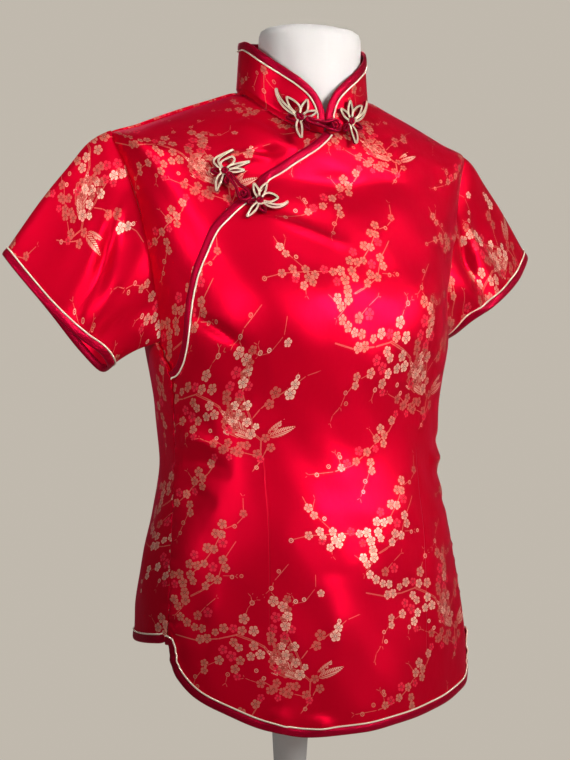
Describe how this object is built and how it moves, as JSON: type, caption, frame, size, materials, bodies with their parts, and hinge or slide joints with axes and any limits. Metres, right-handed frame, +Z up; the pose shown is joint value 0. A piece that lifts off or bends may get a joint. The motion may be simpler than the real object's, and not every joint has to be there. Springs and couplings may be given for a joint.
{
  "type": "mandarin-collar brocade blouse on a limbless dress form",
  "caption": "Short-sleeved woman's mandarin-collar blouse of red blossom brocade with bound edges and frog fastenings, worn by a limbless dress form on a pole stand.",
  "frame": {"origin": "centre of the underside of the stand's round base", "axes": "+Z up; the wearer faces -Y and the wearer's left is +X"},
  "size_m": [0.5871, 0.3, 1.47],
  "materials": {
    "brocade": "red satin brocade with woven cream and coral plum blossom",
    "binding": "crimson satin bias binding",
    "piping": "cream satin piping cord",
    "frog_cord": "crimson satin cord with cream edging",
    "form_cover": "smooth off-white stretch cover",
    "stand_paint": "white satin paint"
  },
  "bodies": {
    "root": {"dress_form": "form_cover", "stand": "stand_paint", "front_main": "brocade", "front_under": "brocade", "back": "brocade", "collar": "brocade", "sleeve_right": "brocade", "sleeve_left": "brocade", "binding_cuff_right": "binding", "piping_cuff_right": "piping", "binding_cuff_left": "binding", "piping_cuff_left": "piping", "binding_opening": "binding", "piping_opening": "piping", "binding_hem_front": "binding", "piping_hem_front": "piping", "binding_hem_back": "binding", "piping_hem_back": "piping", "binding_collar": "binding", "piping_collar": "piping", "frog_collar_right": "frog_cord", "frog_collar_left": "frog_cord", "frog_opening_upper": "frog_cord", "frog_opening_lower": "frog_cord", "loop_collar": "frog_cord", "loop_opening": "frog_cord", "knot_collar": "frog_cord", "knot_opening": "frog_cord"}
  },
  "joints": []
}
